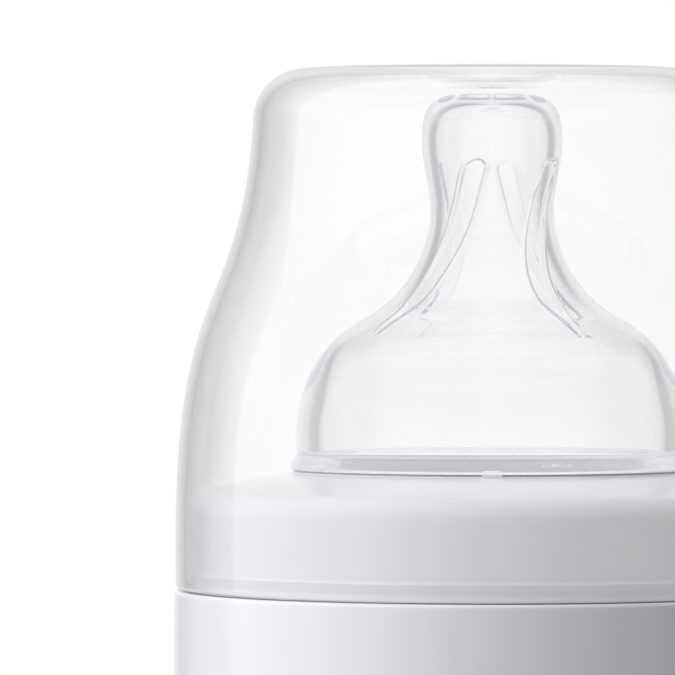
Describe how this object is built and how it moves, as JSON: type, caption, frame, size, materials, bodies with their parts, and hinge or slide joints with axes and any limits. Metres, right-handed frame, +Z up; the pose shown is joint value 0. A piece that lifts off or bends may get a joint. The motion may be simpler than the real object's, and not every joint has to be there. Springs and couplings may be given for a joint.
{
  "type": "baby bottle",
  "caption": "Wide-neck baby bottle with a waisted body, screw ring, silicone teat with twisted ribs, and a clear domed cap.",
  "frame": {"origin": "centre of the base, on the surface that the bottle stands on", "axes": "+Z up along the bottle's axis, -Y towards the front, where the teat's small vent tab is, +X to the right"},
  "size_m": [0.0682, 0.0682, 0.1763],
  "materials": {
    "clear_bottle": "gloss",
    "clear_silicone": "satin",
    "white_plastic": "satin",
    "clear_cap": "polished"
  },
  "bodies": {
    "bottle": {"bottle_body": "clear_bottle"},
    "teat": {"teat": "clear_silicone"},
    "ring": {"screw_ring": "white_plastic"},
    "cap": {"dome_cap": "clear_cap"}
  },
  "joints": [
    {"name": "teat_rise", "type": "slide", "parent": "bottle", "child": "teat", "axis": [0, 0, 1], "range_m": [0, 0.00562]},
    {"name": "ring_turn", "type": "hinge", "parent": "teat", "child": "ring", "pos_m": [0, 0, 0.1206], "axis": [0, 0, 1], "range_deg": [0, 450]},
    {"name": "cap_lift", "type": "slide", "parent": "ring", "child": "cap", "axis": [0, 0, 1], "range_m": [0, 0.07]}
  ],
  "couplings": [
    {"joint": "teat_rise", "follows": "ring_turn", "m_per_rad": 0.0007162}
  ]
}
